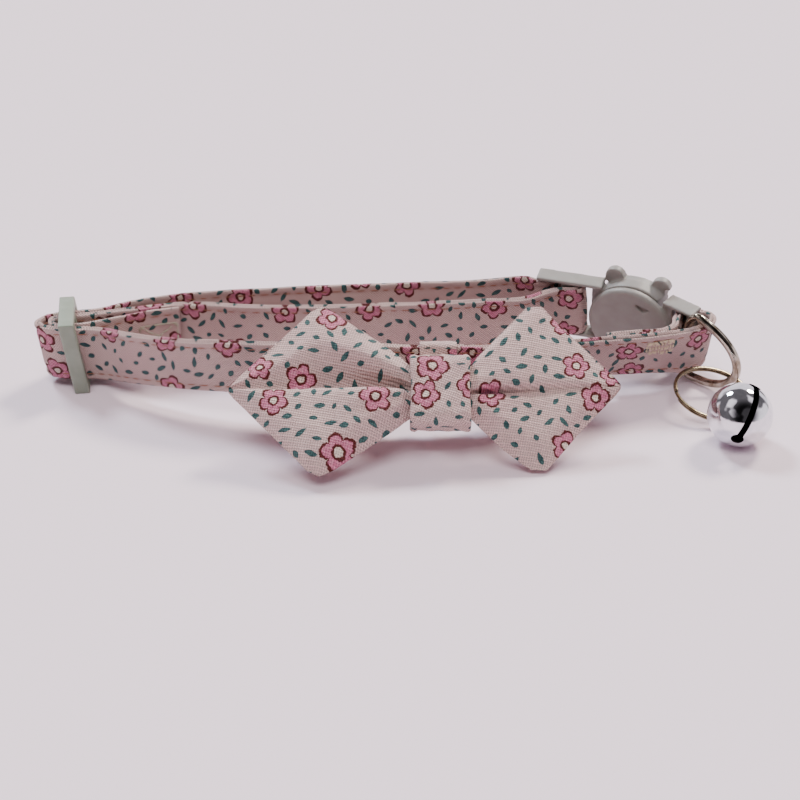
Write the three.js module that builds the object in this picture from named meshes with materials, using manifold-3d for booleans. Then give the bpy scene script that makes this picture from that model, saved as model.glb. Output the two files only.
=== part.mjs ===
// Pet bow tie collar, lying on a table as a flattened loop that stands on its edge.
// Millimetres, +Z up. The front run of the strap and the bow face -Y, the buckle is at the back right.
// Pieces: strap, slider, two buckle halves, bow body, bow band, bow loop, D-ring, split ring,
// bell and the loose pellet in it. Everything below is laid out on the table plane z = 0 and the
// whole group is moved at the end, so that its origin is the bottom centre of its bounding box.
import * as THREE from 'three';
import { mergeVertices } from 'three/addons/utils/BufferGeometryUtils.js';
import Module from 'manifold-3d';

const wasm = await Module();
wasm.setup();

const DEG = Math.PI / 180;

// ---- driving dimensions ----------------------------------------------------------------------
const STRAP_WIDTH = 10.6;
const STRAP_THICK = 1.4;
const STRAP_EDGE_ROUND = 0.35;
const STRAP_STEPS = 240;

const SLIDER_HEIGHT = 14.0;
const SLIDER_WIDTH = 2.8;
const SLIDER_END_PLATE = 1.4;
const SLIDER_CENTRE_BAR = 1.7;
const SLIDER_SLOT = 3.65;
const SLIDER_OUTER_BAR = 1.8;
const SLIDER_POS = [-59.9, 8.4];
const SLIDER_YAW = 8.6;
const SLIDER_LEAN = 7.5;              // its top leans to -X, its ends stay level
const SLIDER_INNER_LAYER = 1.8;      // strap layers in the slots, from the slider's middle
const SLIDER_OUTER_LAYER = 3.5;

const DISC_RADIUS = 8.0;
const DISC_THICK = 1.5;
const BUCKLE_POS = [42.5, 14.0, 7.9];
const BUCKLE_YAW = 27;
const BUCKLE_LEAN = 12;
const BUCKLE_ROLL = 3.5;
const LEFT_ARM_BEND = 9;             // each arm is bent this far towards the front of the disc
const RIGHT_ARM_BEND = 15;
const ARM_RAISE = 0.3;
const ARM_START = 8.0;
const ARM_SETBACK = 0.8;
const ARM_HALF_HEIGHT = 6.3;
const ARM_THICK = 3.4;
const ARM_RAIL = 0.75;
const LEFT_ARM = { length: 10.4, innerBar: [3.4, 5.6], outerBar: [8.8, 10.4] };
const RIGHT_ARM = { length: 4.2, innerBar: [2.7, 4.1] };
const BAR_DEPTH = [0.5, 2.7];        // the bar that the strap wraps, behind the arm's front face

const BELL_RADIUS = 5.64;
const BELL_WALL = 0.45;
const BELL_POS = [58.5, -15.4];
const BELL_SLIT = 1.1;
const BELL_SLIT_HOLE = 1.15;
const BELL_SLIT_REACH = 62;          // the slit's round ends, in degrees from its middle
const PELLET_RADIUS = 1.6;

const WIRE_D_RING = 0.8;             // wire radii
const BOW_STEPS_ACROSS = 18;

// ---- small helpers ---------------------------------------------------------------------------
const material = (color, roughness, metalness) =>
  new THREE.MeshStandardMaterial({ color, roughness, metalness });
const COTTON = material(0xdcc6c2, 0.9, 0);
const SAGE_PLASTIC = material(0xa5ac9f, 0.45, 0);
const GREY_PLASTIC = material(0xa39f9a, 0.45, 0);
const NICKEL = material(0xb9b2a4, 0.2, 1);
const BRASS = material(0xb8a077, 0.3, 1);
const CHROME = material(0xd9d9dc, 0.06, 1);

const group = new THREE.Group();

function addPiece(name, geometry, surface) {
  const piece = new THREE.Mesh(geometry, surface);
  piece.name = name;
  group.add(piece);
  return piece;
}

function toManifold(geometry) {
  const plain = geometry.clone();
  plain.deleteAttribute('normal');
  plain.deleteAttribute('uv');
  const merged = mergeVertices(plain, 1e-4);
  return new wasm.Manifold(new wasm.Mesh({
    numProp: 3,
    vertProperties: new Float32Array(merged.attributes.position.array),
    triVerts: new Uint32Array(merged.index.array),
  }));
}

function fromManifold(solid) {
  const mesh = solid.getMesh();
  const geometry = new THREE.BufferGeometry();
  geometry.setAttribute('position', new THREE.BufferAttribute(new Float32Array(mesh.vertProperties), 3));
  geometry.setIndex(new THREE.BufferAttribute(new Uint32Array(mesh.triVerts), 1));
  geometry.computeVertexNormals();
  return geometry;
}

const join = (parts) => parts.reduce((sum, part) => sum.add(part));
const placed = (geometry, matrix) => toManifold(geometry).transform(matrix.elements);

function box(x, y, z) {
  const geometry = new THREE.BoxGeometry(x[1] - x[0], y[1] - y[0], z[1] - z[0]);
  return geometry.translate((x[0] + x[1]) / 2, (y[0] + y[1]) / 2, (z[0] + z[1]) / 2);
}

// A closed body through a list of rings, each ring a list of Vector3 in the same order.
function loft(rings) {
  const count = rings[0].length;
  const positions = rings.flat().flatMap((p) => [p.x, p.y, p.z]);
  const index = [];
  for (let r = 0; r + 1 < rings.length; r += 1) {
    for (let k = 0; k < count; k += 1) {
      const a = r * count + k;
      const b = r * count + ((k + 1) % count);
      index.push(a, b, b + count, a, b + count, a + count);
    }
  }
  const last = (rings.length - 1) * count;
  for (let k = 1; k + 1 < count; k += 1) {
    index.push(0, k + 1, k);
    index.push(last, last + k, last + k + 1);
  }
  const geometry = new THREE.BufferGeometry();
  geometry.setAttribute('position', new THREE.Float32BufferAttribute(positions, 3));
  geometry.setIndex(index);
  if (signedVolume(geometry) < 0) {
    for (let k = 0; k < index.length; k += 3) [index[k], index[k + 1]] = [index[k + 1], index[k]];
    geometry.setIndex(index);
  }
  geometry.computeVertexNormals();
  return geometry;
}

function signedVolume(geometry) {
  const points = geometry.attributes.position;
  const index = geometry.index.array;
  const [a, b, c] = [new THREE.Vector3(), new THREE.Vector3(), new THREE.Vector3()];
  let sum = 0;
  for (let k = 0; k < index.length; k += 3) {
    a.fromBufferAttribute(points, index[k]);
    b.fromBufferAttribute(points, index[k + 1]);
    c.fromBufferAttribute(points, index[k + 2]);
    sum += a.dot(b.cross(c)) / 6;
  }
  return sum;
}

// ---- slider ----------------------------------------------------------------------------------
// Three upright bars, one behind another, joined by a plate at each end.
function sliderPoint(across, depth) {
  const yaw = SLIDER_YAW * DEG;
  return [
    SLIDER_POS[0] + across * Math.cos(yaw) - depth * Math.sin(yaw),
    SLIDER_POS[1] + across * Math.sin(yaw) + depth * Math.cos(yaw),
  ];
}

function makeSlider() {
  const halfDepth = SLIDER_CENTRE_BAR / 2 + SLIDER_SLOT + SLIDER_OUTER_BAR;
  const halfWidth = SLIDER_WIDTH / 2;
  const block = toManifold(box([-halfWidth, halfWidth], [-halfDepth, halfDepth], [0, SLIDER_HEIGHT]));
  const slots = [-1, 1].map((side) => {
    const ends = [side * SLIDER_CENTRE_BAR / 2, side * (SLIDER_CENTRE_BAR / 2 + SLIDER_SLOT)];
    return toManifold(box([-halfWidth - 1, halfWidth + 1], [Math.min(...ends), Math.max(...ends)],
      [SLIDER_END_PLATE, SLIDER_HEIGHT - SLIDER_END_PLATE]));
  });
  const slant = Math.tan(SLIDER_LEAN * DEG);
  const leaning = new THREE.Matrix4().set(
    1, 0, -slant, slant * SLIDER_HEIGHT / 2, 0, 1, 0, 0, 0, 0, 1, 0, 0, 0, 0, 1);
  const solid = block.subtract(join(slots)).transform(leaning.elements);
  const piece = addPiece('slider', fromManifold(solid), SAGE_PLASTIC);
  piece.position.set(SLIDER_POS[0], SLIDER_POS[1], 0);
  piece.rotation.z = SLIDER_YAW * DEG;
}

// ---- buckle ----------------------------------------------------------------------------------
// Local axes of the buckle: x across to the right, y up, z out of the front of its round face.
const buckleFrame = new THREE.Matrix4()
  .makeTranslation(...BUCKLE_POS)
  .multiply(new THREE.Matrix4().makeRotationZ(-BUCKLE_YAW * DEG))
  .multiply(new THREE.Matrix4().makeRotationX((90 + BUCKLE_LEAN) * DEG))
  .multiply(new THREE.Matrix4().makeRotationZ(-BUCKLE_ROLL * DEG));

// Local axes of an arm: x from the disc outwards, y up, z to the back from the arm's front face.
function armFrame(side) {
  const bend = (side < 0 ? LEFT_ARM_BEND : RIGHT_ARM_BEND) * DEG;
  const along = new THREE.Vector3(side * Math.cos(bend), 0, Math.sin(bend));
  const back = new THREE.Vector3(side * Math.sin(bend), 0, -Math.cos(bend));
  const matrix = new THREE.Matrix4().makeBasis(along, new THREE.Vector3(0, 1, 0), back);
  matrix.setPosition(side * ARM_START, ARM_RAISE, -ARM_SETBACK);
  return new THREE.Matrix4().multiplyMatrices(buckleFrame, matrix);
}

function armPoint(side, along, depth) {
  return new THREE.Vector3(along, 0, depth).applyMatrix4(armFrame(side));
}

function disc(radius, z, segments = 48) {
  const geometry = new THREE.CylinderGeometry(radius, radius, z[1] - z[0], segments);
  return geometry.rotateX(Math.PI / 2).translate(0, 0, (z[0] + z[1]) / 2);
}

function armSolid(side, arm, bars) {
  const frame = armFrame(side);
  const inner = ARM_HALF_HEIGHT - ARM_RAIL;
  const rails = [
    box([-2.2, arm.length], [inner, ARM_HALF_HEIGHT], [0, ARM_THICK]),
    box([-2.2, arm.length], [-ARM_HALF_HEIGHT, -inner], [0, ARM_THICK]),
  ];
  const parts = [...rails, ...bars].map((geometry) => placed(geometry, frame));
  return join(parts);
}

function makeBuckle() {
  const wallTop = ARM_HALF_HEIGHT - 0.2;
  // right half: the front disc and the right arm
  const rim = 0.45;
  const faceProfile = [[0, -DISC_THICK], [DISC_RADIUS, -DISC_THICK], [DISC_RADIUS, -rim],
    [DISC_RADIUS - rim, 0], [0, 0]].map(([r, h]) => new THREE.Vector2(r, h));
  const face = placed(new THREE.LatheGeometry(faceProfile, 48).rotateX(Math.PI / 2), buckleFrame);
  const rightBars = [box(RIGHT_ARM.innerBar, [-wallTop, wallTop], BAR_DEPTH),
    box([-2.2, -0.1], [-wallTop, wallTop], [0.2, ARM_THICK])];
  const notch = new THREE.Shape();
  notch.moveTo(0.6, 5.6);
  notch.lineTo(4.0, 4.9);
  notch.lineTo(2.6, 4.0);
  notch.closePath();
  const notchSolid = placed(new THREE.ExtrudeGeometry(notch, { depth: 1, bevelEnabled: false })
    .translate(0, 0, -0.7), buckleFrame);
  const right = join([face, armSolid(1, RIGHT_ARM, rightBars)]).subtract(notchSolid);

  // left half: the back plate with its two round ears, a rim between the plates and the left arm
  const backPlate = [-5.7, -4.1];
  const plate = placed(disc(DISC_RADIUS - 0.1, backPlate), buckleFrame);
  const ears = [-1, 1].map((side) => placed(
    disc(1.9, backPlate, 24).translate(side * 4.5, DISC_RADIUS - 0.7, 0), buckleFrame));
  const rimWall = placed(disc(DISC_RADIUS, [backPlate[1] - 0.2, -DISC_THICK - 0.3]), buckleFrame)
    .subtract(placed(disc(DISC_RADIUS - 1.8, [-8, 0]), buckleFrame));
  const leftBars = [box(LEFT_ARM.innerBar, [-wallTop, wallTop], BAR_DEPTH),
    box(LEFT_ARM.outerBar, [-wallTop, wallTop], [1.8, ARM_THICK]),
    box([-2.2, -0.1], [-wallTop, wallTop], [1.2, ARM_THICK])];
  const left = join([plate, ...ears, rimWall, armSolid(-1, LEFT_ARM, leftBars)]);

  // each half keeps clear of the other: grown copies of the right half's arm root and of the disc
  const rightRoot = placed(box([-3.4, 8], [-7, 7], [-0.3, 6]), armFrame(1));
  const discRoom = placed(disc(DISC_RADIUS + 0.3, [-DISC_THICK - 0.3, 2]), buckleFrame);
  const leftClear = left.subtract(rightRoot).subtract(discRoom);
  addPiece('buckle_right_half', fromManifold(right), GREY_PLASTIC);
  addPiece('buckle_left_half', fromManifold(leftClear), GREY_PLASTIC);
}

// ---- strap -----------------------------------------------------------------------------------
// Rows along the strap's middle line: x, y, height of the middle, then how far the top edge tips
// towards +X and towards +Y, in degrees.
const slide = (across, depth, z = 7.05, tipX = -SLIDER_LEAN) => [...sliderPoint(across, depth), z, tipX, -1];
const onArm = (side, along, depth, tipX = -5.4, tipY = -10.7) => {
  const point = armPoint(side, along, depth);
  return [point.x, point.y, point.z, tipX, tipY];
};
const IN = SLIDER_INNER_LAYER;
const OUT = SLIDER_OUTER_LAYER;

const strapRows = [
  // left tail, sewn to the run behind it, and round the slider's centre bar
  [-40.8, 12.3, 7.6, 0, 0],
  [-45.5, 11.2, 7.5, 0, 0],
  [-50.5, 9.4, 7.3, 0, 0],
  slide(3.2, -IN, 7.1, -5),
  slide(0, -IN),
  slide(-1.5, -IN),
  slide(-2.85, -IN * 0.5),
  slide(-3.1, 0),
  slide(-2.85, IN * 0.5),
  slide(-1.5, IN),
  slide(0, IN),
  slide(3.2, IN + 0.1, 7.1, -5),
  // inner back run to the buckle's left half
  [-50.5, 12.1, 7.3, 0, 0],
  [-45.5, 13.0, 7.5, 0, 0],
  [-40.5, 14.0, 7.7, 0, -2],
  [-35.5, 13.5, 7.9, 0, -3],
  [-30.5, 12.5, 8.0, 0, -3],
  [-18, 11.9, 8.1, 0, -3],
  [0, 12.8, 8.2, 0, -4],
  [14.5, 14.1, 8.3, 0, -5],
  [24.0, 15.9, 8.3, -3, -9],
  onArm(-1, 7.0, -1.9),
  onArm(-1, 5.0, -0.75),
  onArm(-1, 3.4, -0.5),
  onArm(-1, 1.95, 0.15),
  onArm(-1, 1.4, 1.6),
  onArm(-1, 1.95, 3.05),
  onArm(-1, 3.4, 3.7),
  onArm(-1, 5.3, 3.7),
  onArm(-1, 6.5, 3.2),
  onArm(-1, 7.3, 2.1),
  onArm(-1, 8.3, 1.05),
  onArm(-1, 9.9, 0.7),
  onArm(-1, 12.4, 0.9, -3, -9),
  // outer back run to the slider
  [14, 23.3, 8.1, 0, -5],
  [0, 22.5, 7.9, 0, -4],
  [-19, 21.2, 7.7, 0, -3],
  [-32, 20.0, 7.5, 0, -2],
  [-42, 18.3, 7.4, 0, -1],
  [-50, 15.7, 7.2, 0, 0],
  slide(4.6, OUT + 0.25, 7.1, -3),
  slide(0, OUT),
  slide(-1.9, OUT * 0.93),
  slide(-4.4, OUT * 0.62),
  slide(-5.6, 0),
  slide(-4.4, -OUT * 0.62),
  slide(-1.9, -OUT * 0.93),
  slide(0, -OUT),
  slide(4.2, -OUT - 0.35, 7.2, -3),
  // front run, lifted off the table by the bow
  [-48, -0.1, 8.4, 0, -8],
  [-43, -2.7, 9.0, 0, -9],
  [-38, -4.3, 9.6, 0, -9],
  [-30, -6.3, 10.2, 0, -7],
  [-20, -8.2, 10.6, 0, -1],
  [-8, -9.3, 10.7, 0, 8],
  [7.5, -9.7, 10.4, 0, 12],
  [20, -7.2, 9.8, 0, -4],
  [28, -3.4, 9.3, 0, -19],
  [34, -0.7, 9.0, 0, -25],
  [39, 0.4, 8.9, 0, -26],
  [43.6, 1.2, 8.8, 0, -25],
  [48.2, 2.3, 8.6, 0, -22],
  [51.4, 3.4, 8.3, 0, -18],
  [53.6, 4.7, 8.2, 2, -16],
  [55.5, 6.2, 8.2, 5, -15],
  [56.5, 8.2, 8.3, 5, -13],
  [56.4, 10.2, 8.3, 0, -11],
  // behind and round the bar of the buckle's right half
  onArm(1, 4.6, 3.75),
  onArm(1, 3.0, 3.7),
  onArm(1, 1.65, 3.05),
  onArm(1, 1.1, 1.6),
  onArm(1, 1.6, 0.15, -5, -12),
  // right tail, turned back and sewn inside the front run
  [50.5, 8.5, 8.1, -4, -14],
  [50.2, 7.2, 8.2, -3, -16],
  [49.7, 6.0, 8.3, -2, -18],
  [48.7, 5.0, 8.4, 0, -20],
  [47.2, 4.1, 8.5, 0, -23],
  [45.2, 3.5, 8.6, 0, -24],
  [43.4, 3.1, 8.8, 0, -25],
  [39.0, 2.3, 8.9, 0, -26],
  [36.9, 1.8, 8.9, 0, -26],
];

function strapSection() {
  const [w, t, r] = [STRAP_WIDTH / 2, STRAP_THICK / 2, STRAP_EDGE_ROUND];
  return [[t, -w + r], [t, w - r], [t - r, w], [-t + r, w], [-t, w - r], [-t, -w + r], [-t + r, -w], [t - r, -w]];
}

function makeStrap() {
  const line = new THREE.CatmullRomCurve3(
    strapRows.map(([x, y, z]) => new THREE.Vector3(x, y, z)), false, 'centripetal');
  const section = strapSection();
  const last = strapRows.length - 1;
  // steps are spread by arc length and by how far the strap turns, so that folds stay round
  const fine = 4000;
  const travel = [0];
  let previous = line.getPoint(0);
  let heading = line.getTangent(0);
  for (let k = 1; k <= fine; k += 1) {
    const point = line.getPoint(k / fine);
    const tangent = line.getTangent(k / fine);
    travel.push(travel[k - 1] + point.distanceTo(previous) + 2.2 * tangent.angleTo(heading));
    previous = point;
    heading = tangent;
  }
  const rings = [];
  let k = 0;
  for (let step = 0; step <= STRAP_STEPS; step += 1) {
    const goal = travel[fine] * step / STRAP_STEPS;
    while (k < fine && travel[k] < goal) k += 1;
    const u = k / fine;
    const row = Math.min(Math.floor(u * last), last - 1);
    const part = u * last - row;
    const ease = part * part * (3 - 2 * part);
    const tip = [3, 4].map((column) =>
      Math.sin(DEG * (strapRows[row][column] * (1 - ease) + strapRows[row + 1][column] * ease)));
    const centre = line.getPoint(u);
    const up = new THREE.Vector3(tip[0], tip[1], Math.sqrt(1 - tip[0] ** 2 - tip[1] ** 2));
    const out = new THREE.Vector3().crossVectors(line.getTangent(u), up).normalize();
    rings.push(section.map(([t, w]) => centre.clone().addScaledVector(out, t).addScaledVector(up, w)));
  }
  addPiece('strap', loft(rings), COTTON);
}

// ---- bow -------------------------------------------------------------------------------------
// Each row is a cut across the bow at one x: where the cut's middle is, how far it leans back, how
// far it reaches up and down, how far its two puffed halves and the crease between them stand out
// in front of the middle sheet, and how thick it is behind it.
const bowColumns = ['x', 'y', 'z', 'lean', 'up', 'down', 'puff', 'crease', 'behind'];
const bowRows = [
  [-28.9, -17.6, 11.6, 54, 0.5, 0.5, 0.5, 0.4, 0.5],
  [-28.0, -17.6, 11.6, 54, 1.7, 1.6, 0.7, 0.6, 0.7],
  [-24.0, -17.6, 11.5, 54, 5.9, 5.8, 1.3, 0.8, 0.9],
  [-19.0, -17.6, 11.5, 54, 11.0, 10.8, 1.8, 0.7, 1.1],
  [-15.2, -17.6, 11.5, 54, 14.9, 14.5, 2.0, 0.3, 1.2],
  [-13.6, -17.5, 11.5, 54, 15.6, 15.4, 2.1, 0.1, 1.3],
  [-11.5, -17.4, 11.4, 53.5, 14.6, 14.5, 2.2, -0.2, 1.4],
  [-7.5, -17.2, 11.3, 53, 11.8, 12.0, 2.5, -0.6, 1.5],
  [-3.0, -17.1, 11.2, 52, 8.6, 8.9, 2.7, -0.7, 1.6],
  [0.4, -17.1, 11.1, 51, 5.7, 5.9, 2.1, -0.2, 1.6],
  [1.5, -17.4, 11.0, 50, 4.6, 4.6, 1.6, 0.6, 1.5],
  [6.8, -17.4, 11.0, 49, 4.3, 4.4, 1.5, 1.0, 1.4],
  [12.1, -17.4, 10.9, 48, 4.6, 4.6, 1.6, 0.6, 1.5],
  [13.2, -16.9, 10.9, 47.5, 6.1, 6.2, 2.1, -0.2, 1.6],
  [17.0, -16.1, 10.8, 47, 9.8, 9.9, 2.6, -0.6, 1.5],
  [20.5, -15.4, 10.7, 47, 13.2, 12.9, 2.4, -0.3, 1.4],
  [22.3, -15.0, 10.65, 47, 14.8, 13.9, 2.2, 0.0, 1.3],
  [24.2, -14.9, 10.6, 47, 13.7, 13.3, 2.0, 0.2, 1.2],
  [28.0, -14.5, 10.5, 47, 10.0, 10.0, 1.7, 0.6, 1.1],
  [32.5, -14.2, 10.4, 47, 5.6, 5.8, 1.2, 0.8, 0.9],
  [36.8, -14.0, 10.3, 47, 1.5, 1.6, 0.7, 0.6, 0.7],
  [37.7, -14.0, 10.3, 47, 0.5, 0.5, 0.5, 0.4, 0.5],
].map((row) => Object.fromEntries(bowColumns.map((name, k) => [name, row[k]])));

const BOW_MIDDLE = bowRows[11];

function bowPoint(row, v, n) {
  const lean = row.lean * DEG;
  return new THREE.Vector3(row.x,
    row.y + v * Math.sin(lean) - n * Math.cos(lean),
    row.z + v * Math.cos(lean) + n * Math.sin(lean));
}

// Front of a cut at part p of its half height (0 at the crease, 1 at the edge).
function bowFront(row, p) {
  const hump = Math.sin(Math.PI * Math.pow(p, 0.8));
  const base = row.crease * (1 - p) + 0.45 * p;
  return base + (row.puff - 0.4) * hump;
}

function makeBow() {
  const rings = bowRows.map((row) => {
    const ring = [];
    for (let k = 0; k <= BOW_STEPS_ACROSS; k += 1) {
      const v = -1 + 2 * k / BOW_STEPS_ACROSS;
      const reach = v < 0 ? row.down : row.up;
      ring.push(bowPoint(row, v * reach, bowFront(row, Math.abs(v))));
    }
    for (let k = BOW_STEPS_ACROSS - 1; k > 0; k -= 2) {
      const v = -1 + 2 * k / BOW_STEPS_ACROSS;
      const reach = v < 0 ? row.down : row.up;
      const back = 0.45 + (row.behind - 0.45) * Math.cos(v * Math.PI / 2);
      ring.push(bowPoint(row, v * reach, -back));
    }
    return ring;
  });
  addPiece('bow_body', loft(rings), COTTON);
}

// Stadium-like outline for the band and the loop: half sizes along the outline's x and y.
function roundedOutline(kind, halfX, halfY, radius) {
  kind.absarc(halfX - radius, halfY - radius, radius, 0, Math.PI / 2, false);
  kind.absarc(-halfX + radius, halfY - radius, radius, Math.PI / 2, Math.PI, false);
  kind.absarc(-halfX + radius, -halfY + radius, radius, Math.PI, Math.PI * 1.5, false);
  kind.absarc(halfX - radius, -halfY + radius, radius, Math.PI * 1.5, Math.PI * 2, false);
  kind.closePath();
  return kind;
}

function ringExtrusion(halfX, halfY, radius, wall, length) {
  const outline = roundedOutline(new THREE.Shape(), halfX, halfY, radius);
  outline.holes.push(roundedOutline(new THREE.Path(), halfX - wall, halfY - wall, radius - wall * 0.8));
  return new THREE.ExtrudeGeometry(outline, { depth: length, bevelEnabled: false, curveSegments: 5 })
    .translate(0, 0, -length / 2);
}

// Local x of these rings is out of the front, y up, and their length runs along world x.
function bowFrame(x, y, z, lean) {
  const angle = lean * DEG;
  const front = new THREE.Vector3(0, -Math.cos(angle), Math.sin(angle));
  const up = new THREE.Vector3(0, Math.sin(angle), Math.cos(angle));
  const along = new THREE.Vector3().crossVectors(front, up);
  return new THREE.Matrix4().makeBasis(front, up, along).setPosition(x, y, z);
}

function makeBand() {
  const { x, y, z, lean } = BOW_MIDDLE;
  const band = ringExtrusion(3.35, 6.35, 2.2, 1.3, 10.2)
    .applyMatrix4(bowFrame(x, y, z, lean));
  addPiece('bow_band', band, COTTON);
}

function makeLoop() {
  // round the strap, just behind the band
  const loop = ringExtrusion(1.95, 6.45, 1.3, 0.8, 6.4)
    .applyMatrix4(bowFrame(6.6, -9.65, 10.4, 12));
  addPiece('bow_loop', loop, COTTON);
}

// ---- rings -----------------------------------------------------------------------------------
function closedTube(points, radius, steps, sides) {
  const line = new THREE.CatmullRomCurve3(points, true, 'centripetal');
  return new THREE.TubeGeometry(line, steps, radius, sides, true);
}

// The D lies in a plane through its straight bar; `out` is how far its bow reaches from the bar.
const D_BAR_MIDDLE = new THREE.Vector3(52.3, 6.6, 8.4);
const D_BAR_HALF = 5.9;
const D_BAR_DIRECTION = new THREE.Vector3(0, -0.28, 0.96).normalize();
const D_REACH = new THREE.Vector3(8.2, -7.0, -2.4);

function makeDRing() {
  const points = [];
  for (const v of [-0.75, -0.25, 0.25, 0.75]) {
    points.push(D_BAR_MIDDLE.clone().addScaledVector(D_BAR_DIRECTION, v * D_BAR_HALF));
  }
  for (let k = 0; k <= 12; k += 1) {
    const angle = Math.PI * (0.5 - k / 12);
    points.push(D_BAR_MIDDLE.clone()
      .addScaledVector(D_BAR_DIRECTION, (D_BAR_HALF + 1.1) * Math.sin(angle))
      .addScaledVector(D_REACH, 0.12 + 0.88 * Math.cos(angle)));
  }
  addPiece('d_ring', closedTube(points, WIRE_D_RING, 80, 10), NICKEL);
}

const RING = { x: 56.2, y: -2.95, z: 2.9, radius: 7.3, wall: 0.5, height: 0.8, tip: 12, roll: 9 };

function makeSplitRing() {
  const profile = [[RING.radius - RING.wall, -RING.height / 2], [RING.radius, -RING.height / 2],
    [RING.radius, RING.height / 2], [RING.radius - RING.wall, RING.height / 2],
    [RING.radius - RING.wall, -RING.height / 2]].map(([r, h]) => new THREE.Vector2(r, h));
  const geometry = new THREE.LatheGeometry(profile, 48).rotateX(Math.PI / 2);
  const piece = addPiece('split_ring', geometry, BRASS);
  piece.position.set(RING.x, RING.y, RING.z);
  piece.rotation.set(RING.tip * DEG, RING.roll * DEG, 0);
}

// ---- bell ------------------------------------------------------------------------------------
// Local z points from the bell's middle to its eye, and the slit is across the far end along x.
const bellFrame = (() => {
  const eye = new THREE.Vector3(-0.211, 0.8, -0.61).normalize();
  const slit = new THREE.Vector3(0.22, 0.5, 0.86);
  slit.addScaledVector(eye, -slit.dot(eye)).normalize();
  const third = new THREE.Vector3().crossVectors(eye, slit);
  return new THREE.Matrix4().makeBasis(slit, third, eye)
    .setPosition(BELL_POS[0], BELL_POS[1], BELL_RADIUS);
})();

function makeBell() {
  const outer = toManifold(new THREE.SphereGeometry(BELL_RADIUS, 40, 20));
  const inner = toManifold(new THREE.SphereGeometry(BELL_RADIUS - BELL_WALL, 32, 16));
  const reach = BELL_RADIUS * Math.sin(BELL_SLIT_REACH * DEG);
  const depth = BELL_RADIUS * Math.cos(BELL_SLIT_REACH * DEG);
  const slit = toManifold(box([-reach, reach], [-BELL_SLIT / 2, BELL_SLIT / 2],
    [-BELL_RADIUS - 1, -depth + 0.4]));
  const holes = [-1, 1].map((side) => toManifold(
    new THREE.CylinderGeometry(BELL_SLIT_HOLE, BELL_SLIT_HOLE, 3, 20)
      .rotateX(Math.PI / 2).rotateY(side * BELL_SLIT_REACH * DEG)
      .translate(-side * reach, 0, -depth)));
  const eye = toManifold(new THREE.TorusGeometry(1.2, 0.3, 10, 24)
    .rotateX(Math.PI / 2).translate(0, 0, BELL_RADIUS + 1.4));
  const neck = toManifold(new THREE.CylinderGeometry(0.5, 0.8, 0.9, 16)
    .rotateX(Math.PI / 2).translate(0, 0, BELL_RADIUS - 0.2));
  const shell = outer.subtract(inner).subtract(slit).subtract(join(holes)).add(eye.add(neck).subtract(inner));
  const geometry = fromManifold(shell);
  geometry.applyMatrix4(bellFrame);
  addPiece('bell', geometry, CHROME);
}

function makePellet() {
  const pellet = addPiece('bell_pellet', new THREE.SphereGeometry(PELLET_RADIUS, 20, 12), NICKEL);
  pellet.position.set(BELL_POS[0], BELL_POS[1], BELL_WALL + 0.3 + PELLET_RADIUS + 0.1);
}

makeStrap();
makeSlider();
makeBuckle();
makeBow();
makeBand();
makeLoop();
makeDRing();
makeSplitRing();
makeBell();
makePellet();

// ---- origin at the bottom centre of the whole object ------------------------------------------
group.updateMatrixWorld(true);
const bounds = new THREE.Box3().setFromObject(group, true);
group.position.set(-(bounds.min.x + bounds.max.x) / 2, -(bounds.min.y + bounds.max.y) / 2, -bounds.min.z);

export default group;
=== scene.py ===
import bpy
import bmesh
import random
from math import atan2, copysign, cos, exp, hypot, pi, radians, sin, sqrt
from mathutils import Matrix, Vector, noise
from mathutils.kdtree import KDTree


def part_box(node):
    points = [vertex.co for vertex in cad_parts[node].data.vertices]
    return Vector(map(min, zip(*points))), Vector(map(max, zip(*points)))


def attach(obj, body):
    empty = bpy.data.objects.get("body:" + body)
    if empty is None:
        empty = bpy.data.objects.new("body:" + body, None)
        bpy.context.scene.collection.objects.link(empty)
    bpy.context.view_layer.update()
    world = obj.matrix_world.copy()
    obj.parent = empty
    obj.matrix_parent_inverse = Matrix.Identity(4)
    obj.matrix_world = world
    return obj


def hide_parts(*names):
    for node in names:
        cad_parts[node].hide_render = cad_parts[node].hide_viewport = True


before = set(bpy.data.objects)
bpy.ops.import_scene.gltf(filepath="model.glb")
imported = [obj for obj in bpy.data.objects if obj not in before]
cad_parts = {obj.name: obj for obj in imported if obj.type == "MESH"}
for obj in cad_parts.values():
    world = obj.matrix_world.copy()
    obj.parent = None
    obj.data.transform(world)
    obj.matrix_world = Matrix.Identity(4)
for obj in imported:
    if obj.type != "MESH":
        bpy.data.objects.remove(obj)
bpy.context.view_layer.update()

MM = 0.001
RAD = radians

# The layout below is in millimetres on the table, before the part was moved to its own origin.
# The bell's box gives that move back.
BELL_AT = Vector((58.5, -15.4, 5.64))
bell_low, bell_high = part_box("bell")
MOVE = Vector((
    (bell_low[0] + bell_high[0]) / 2 / MM - BELL_AT.x,
    bell_low[1] / MM - (BELL_AT.y - BELL_AT.z),
    0.0,
))


def place(point):
    """A point of the layout, in millimetres, as a point of the scene, in metres."""
    return (Vector(point) + MOVE) * MM


def add_object(name, data):
    item = bpy.data.objects.new(name, data)
    bpy.context.scene.collection.objects.link(item)
    return item


# ---- camera ----
CAMERA_DISTANCE = 303
CAMERA_RISE = RAD(29)
camera_data = bpy.data.cameras.new("camera")
camera_data.lens = 75
camera_data.sensor_width = 36
camera_data.clip_start = 0.01
camera = add_object("camera", camera_data)
camera.location = place((0, -CAMERA_DISTANCE * cos(CAMERA_RISE),
                         CAMERA_DISTANCE * sin(CAMERA_RISE)))
camera.rotation_euler = (RAD(90) - CAMERA_RISE, 0, 0)
bpy.context.scene.camera = camera


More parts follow.
